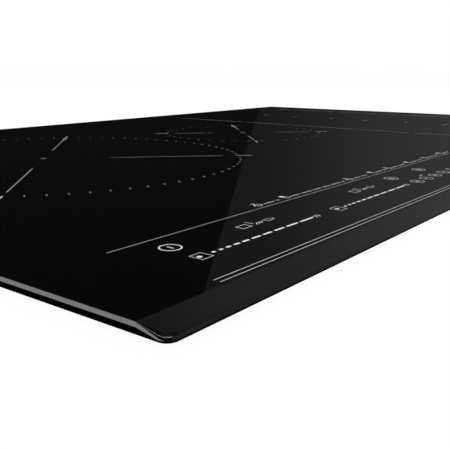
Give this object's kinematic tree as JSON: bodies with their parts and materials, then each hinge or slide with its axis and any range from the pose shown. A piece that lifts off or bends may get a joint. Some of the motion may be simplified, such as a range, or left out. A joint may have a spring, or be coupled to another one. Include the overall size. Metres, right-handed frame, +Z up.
{
  "type": "electric induction cooktop",
  "caption": "Built-in induction cooktop with a black glass-ceramic plate, round and flex zones, coils, fans, boards and clamps in a steel tray.",
  "frame": {"origin": "middle of the underside of the tray", "axes": "+X to the right along the front edge, +Y from the user to the back, +Z up through the cooking surface"},
  "size_m": [0.8, 0.51, 0.057],
  "materials": {
    "black_glass": "polished black glass-ceramic",
    "foam": "closed-cell foam tape",
    "silicone": "cured silicone adhesive",
    "zinc_steel": "galvanised sheet, satin",
    "aluminium": "mill finish",
    "black_plastic": "moulded, fine grain",
    "ivory_plastic": "moulded, fine grain",
    "copper": "enamelled copper strand",
    "mineral_mat": "pressed mineral fibre",
    "green_board": "solder-resist lacquer",
    "white_guide": "moulded, smooth",
    "yellow_film": "potted film capacitor",
    "steel_screw": "zinc plated",
    "sensor_steel": "satin"
  },
  "bodies": {
    "body": {"glass_plate": "black_glass", "rim_gasket": "foam", "adhesive_bead": "silicone", "support_frame": "zinc_steel", "bottom_tray": "zinc_steel", "coil_plate_left": "aluminium", "coil_plate_right": "aluminium", "coil_former_left": "black_plastic", "coil_former_middle": "black_plastic", "coil_left_inner": "copper", "coil_left_outer": "copper", "coil_middle": "copper", "insulation_mat_left": "mineral_mat", "insulation_mat_middle": "mineral_mat", "insulation_mat_flex": "mineral_mat", "sensor_left": "sensor_steel", "sensor_middle": "sensor_steel", "coil_former_flex_1": "black_plastic", "coil_flex_1": "copper", "sensor_flex_1": "sensor_steel", "coil_former_flex_2": "black_plastic", "coil_flex_2": "copper", "sensor_flex_2": "sensor_steel", "coil_former_flex_3": "black_plastic", "coil_flex_3": "copper", "sensor_flex_3": "sensor_steel", "coil_former_flex_4": "black_plastic", "coil_flex_4": "copper", "sensor_flex_4": "sensor_steel", "touch_carrier": "ivory_plastic", "touch_board": "green_board", "light_guide": "white_guide", "fan_housing_left": "black_plastic", "board_carrier_left": "ivory_plastic", "power_board_left": "green_board", "heat_sink_left": "aluminium", "capacitor_left": "yellow_film", "choke_left": "copper", "fan_housing_right": "black_plastic", "board_carrier_right": "ivory_plastic", "power_board_right": "green_board", "heat_sink_right": "aluminium", "capacitor_right": "yellow_film", "choke_right": "copper", "terminal_box": "black_plastic", "terminal_block": "ivory_plastic", "cable_gland": "black_plastic"},
    "fan_rotor_left": {"fan_rotor_left": "ivory_plastic"},
    "fan_rotor_right": {"fan_rotor_right": "ivory_plastic"},
    "terminal_cover": {"terminal_cover": "black_plastic"},
    "clamp_screw_front_left": {"clamp_screw_front_left": "steel_screw"},
    "clamp_arm_front_left": {"clamp_arm_front_left": "zinc_steel"},
    "clamp_screw_back_left": {"clamp_screw_back_left": "steel_screw"},
    "clamp_arm_back_left": {"clamp_arm_back_left": "zinc_steel"},
    "clamp_screw_front_right": {"clamp_screw_front_right": "steel_screw"},
    "clamp_arm_front_right": {"clamp_arm_front_right": "zinc_steel"},
    "clamp_screw_back_right": {"clamp_screw_back_right": "steel_screw"},
    "clamp_arm_back_right": {"clamp_arm_back_right": "zinc_steel"}
  },
  "joints": [
    {"name": "fan_left_spin", "type": "hinge", "parent": "body", "child": "fan_rotor_left", "pos_m": [-0.054, 0.085, 0.015], "axis": [0, 0, 1], "continuous": true},
    {"name": "fan_right_spin", "type": "hinge", "parent": "body", "child": "fan_rotor_right", "pos_m": [0.054, 0.085, 0.015], "axis": [0, 0, 1], "continuous": true},
    {"name": "terminal_cover_hinge", "type": "hinge", "parent": "body", "child": "terminal_cover", "pos_m": [0.25, 0.2418, 0.0056], "axis": [-1, 0, 0], "range_deg": [0, 95]},
    {"name": "clamp_rise_front_left", "type": "slide", "parent": "body", "child": "clamp_screw_front_left", "axis": [0, 0, 1], "range_m": [0, 0.012]},
    {"name": "clamp_swing_front_left", "type": "hinge", "parent": "clamp_screw_front_left", "child": "clamp_arm_front_left", "pos_m": [-0.354, -0.14, 0.007], "axis": [0, 0, 1], "range_deg": [0, 90]},
    {"name": "clamp_rise_back_left", "type": "slide", "parent": "body", "child": "clamp_screw_back_left", "axis": [0, 0, 1], "range_m": [0, 0.012]},
    {"name": "clamp_swing_back_left", "type": "hinge", "parent": "clamp_screw_back_left", "child": "clamp_arm_back_left", "pos_m": [-0.354, 0.14, 0.007], "axis": [0, 0, -1], "range_deg": [0, 90]},
    {"name": "clamp_rise_front_right", "type": "slide", "parent": "body", "child": "clamp_screw_front_right", "axis": [0, 0, 1], "range_m": [0, 0.012]},
    {"name": "clamp_swing_front_right", "type": "hinge", "parent": "clamp_screw_front_right", "child": "clamp_arm_front_right", "pos_m": [0.354, -0.14, 0.007], "axis": [0, 0, -1], "range_deg": [0, 90]},
    {"name": "clamp_rise_back_right", "type": "slide", "parent": "body", "child": "clamp_screw_back_right", "axis": [0, 0, 1], "range_m": [0, 0.012]},
    {"name": "clamp_swing_back_right", "type": "hinge", "parent": "clamp_screw_back_right", "child": "clamp_arm_back_right", "pos_m": [0.354, 0.14, 0.007], "axis": [0, 0, 1], "range_deg": [0, 90]}
  ]
}
